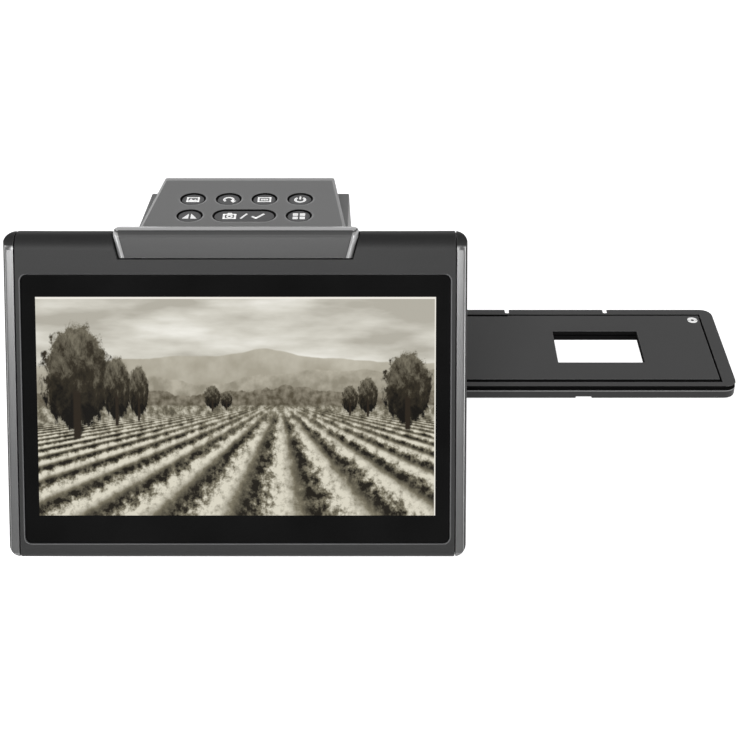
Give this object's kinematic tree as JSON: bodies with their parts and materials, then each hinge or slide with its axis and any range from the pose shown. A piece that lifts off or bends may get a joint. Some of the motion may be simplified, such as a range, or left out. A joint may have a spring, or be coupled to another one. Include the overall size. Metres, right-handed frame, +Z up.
{
  "type": "film negative scanner",
  "caption": "Desktop film and slide scanner: a narrow tower with a key deck on top, a hinged tilting display in front and a film tray with a lid that slides through from the side.",
  "frame": {"origin": "on the table, under the middle of the front foot strip, in the machine's mid-plane", "axes": "+X to the user's right, along the film tray's travel; +Y away from the user; +Z up"},
  "size_m": [0.2973, 0.1487, 0.1416],
  "materials": {
    "housing_gray": "fine spark-eroded mid gray ABS",
    "frame_gray": "fine-grained dark gray ABS",
    "trim_gray": "satin light gray side strip",
    "screen_black": "polished black screen cover",
    "key_black": "smooth near-black key cap with white icons",
    "tray_black": "fine matt charcoal ABS",
    "inner_black": "plain black moulding",
    "opal_white": "opal white acrylic",
    "circuit_board": "green solder mask",
    "lens_glass": "coated optical glass",
    "steel": "plain bright steel",
    "foot_rubber": "matt black rubber"
  },
  "bodies": {
    "base": {"base_shell": "housing_gray", "tower_shell": "housing_gray", "control_deck": "housing_gray", "front_foot": "foot_rubber", "rear_foot": "foot_rubber", "key_mat": "foot_rubber", "hinge_pin": "steel", "detent_spring": "steel", "base_screw_1": "steel", "base_screw_2": "steel", "usb_c_socket": "steel", "hdmi_socket": "steel", "sd_card_socket": "steel", "button_board": "circuit_board", "sensor_board": "circuit_board", "lamp_board": "circuit_board", "main_board": "circuit_board", "processor_chip": "inner_black", "memory_chip": "inner_black", "image_sensor": "inner_black", "lens_barrel": "inner_black", "camera_housing": "inner_black", "tray_guide": "inner_black", "film_gate": "inner_black", "port_panel": "inner_black", "lens_glass": "lens_glass", "light_box": "opal_white", "diffuser": "opal_white"},
    "display": {"display_frame": "frame_gray", "display_rear_cover": "housing_gray", "side_trim_left": "trim_gray", "side_trim_right": "trim_gray", "cover_glass": "screen_black", "screen_panel": "screen_black", "display_board": "circuit_board", "hinge_cover": "housing_gray", "hinge_bracket_left": "steel", "hinge_bracket_right": "steel", "display_screw_1": "steel", "display_screw_2": "steel", "display_screw_3": "steel", "display_screw_4": "steel"},
    "film_tray": {"tray_lower_frame": "tray_black", "tray_upper_frame": "tray_black"},
    "tray_lid": {"tray_lid": "tray_black"},
    "button_picture_mode": {"button_picture_mode": "key_black"},
    "button_rotate": {"button_rotate": "key_black"},
    "button_film_type": {"button_film_type": "key_black"},
    "button_power": {"button_power": "key_black"},
    "button_mirror": {"button_mirror": "key_black"},
    "button_scan": {"button_scan": "key_black"},
    "button_gallery": {"button_gallery": "key_black"}
  },
  "joints": [
    {"name": "display_tilt", "type": "hinge", "parent": "base", "child": "display", "pos_m": [0, 0.008, 0.132], "axis": [-1, 0, 0], "range_deg": [-28.4, 43.6]},
    {"name": "tray_slide", "type": "slide", "parent": "base", "child": "film_tray", "axis": [1, 0, 0], "range_m": [-0.1526, 0.004]},
    {"name": "lid_hinge", "type": "hinge", "parent": "film_tray", "child": "tray_lid", "pos_m": [0.1312, 0.0796, 0.0567], "axis": [-1, 0, 0], "range_deg": [0, 100]},
    {"name": "press_picture_mode", "type": "slide", "parent": "base", "child": "button_picture_mode", "axis": [0, 0, -1], "range_m": [0, 0.0008], "stiffness_N_per_m": 500},
    {"name": "press_rotate", "type": "slide", "parent": "base", "child": "button_rotate", "axis": [0, 0, -1], "range_m": [0, 0.0008], "stiffness_N_per_m": 500},
    {"name": "press_film_type", "type": "slide", "parent": "base", "child": "button_film_type", "axis": [0, 0, -1], "range_m": [0, 0.0008], "stiffness_N_per_m": 500},
    {"name": "press_power", "type": "slide", "parent": "base", "child": "button_power", "axis": [0, 0, -1], "range_m": [0, 0.0008], "stiffness_N_per_m": 500},
    {"name": "press_mirror", "type": "slide", "parent": "base", "child": "button_mirror", "axis": [0, 0, -1], "range_m": [0, 0.0008], "stiffness_N_per_m": 500},
    {"name": "press_scan", "type": "slide", "parent": "base", "child": "button_scan", "axis": [0, 0, -1], "range_m": [0, 0.0008], "stiffness_N_per_m": 500},
    {"name": "press_gallery", "type": "slide", "parent": "base", "child": "button_gallery", "axis": [0, 0, -1], "range_m": [0, 0.0008], "stiffness_N_per_m": 500}
  ]
}
